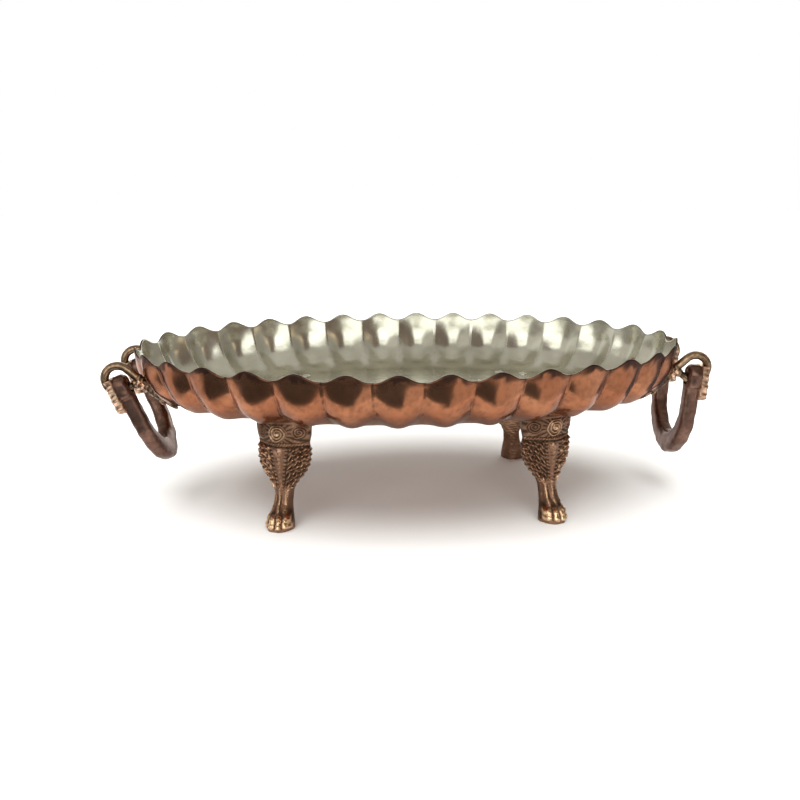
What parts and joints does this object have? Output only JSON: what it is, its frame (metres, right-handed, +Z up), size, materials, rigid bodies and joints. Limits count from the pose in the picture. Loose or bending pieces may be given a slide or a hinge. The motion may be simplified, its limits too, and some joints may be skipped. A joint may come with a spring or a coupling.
{
  "type": "footed serving tray",
  "caption": "Oval fluted copper tray with a wavy rim, tinned inside, on cast paw legs, with a swinging bail handle hung from hooks at each end.",
  "frame": {"origin": "on the ground under the middle of the tray", "axes": "+X along the tray's length, +Y across it to the rear, +Z up"},
  "size_m": [0.442, 0.2574, 0.1186],
  "materials": {
    "copper_sheet": "hammered and polished copper outside, with a wiped tin lining",
    "tin_lining": "wiped tin, satin",
    "copper_rivet": "hammered copper",
    "cast_leg": "cast relief, dark in its hollows and polished on its high parts",
    "forged_hook": "forged, oxidised brown",
    "cast_handle": "cast, oxidised brown, polished leaves"
  },
  "bodies": {
    "tray": {"tray_body": "copper_sheet", "front_left_leg": "cast_leg", "front_left_leg_rivets": "copper_rivet", "front_right_leg": "cast_leg", "front_right_leg_rivets": "copper_rivet", "rear_left_leg": "cast_leg", "rear_left_leg_rivets": "copper_rivet", "rear_right_leg": "cast_leg", "rear_right_leg_rivets": "copper_rivet", "left_front_hook": "forged_hook", "left_front_hook_rivets": "copper_rivet", "left_rear_hook": "forged_hook", "left_rear_hook_rivets": "copper_rivet", "right_front_hook": "forged_hook", "right_front_hook_rivets": "copper_rivet", "right_rear_hook": "forged_hook", "right_rear_hook_rivets": "copper_rivet"},
    "left_bail": {"left_handle": "cast_handle"},
    "right_bail": {"right_handle": "cast_handle"}
  },
  "joints": [
    {"name": "left_bail_swing", "type": "hinge", "parent": "tray", "child": "left_bail", "pos_m": [-0.2085, 0, 0.0986], "axis": [0, 1, 0], "range_deg": [-3, 198]},
    {"name": "right_bail_swing", "type": "hinge", "parent": "tray", "child": "right_bail", "pos_m": [0.2085, 0, 0.0986], "axis": [0, -1, 0], "range_deg": [-21, 180]}
  ]
}
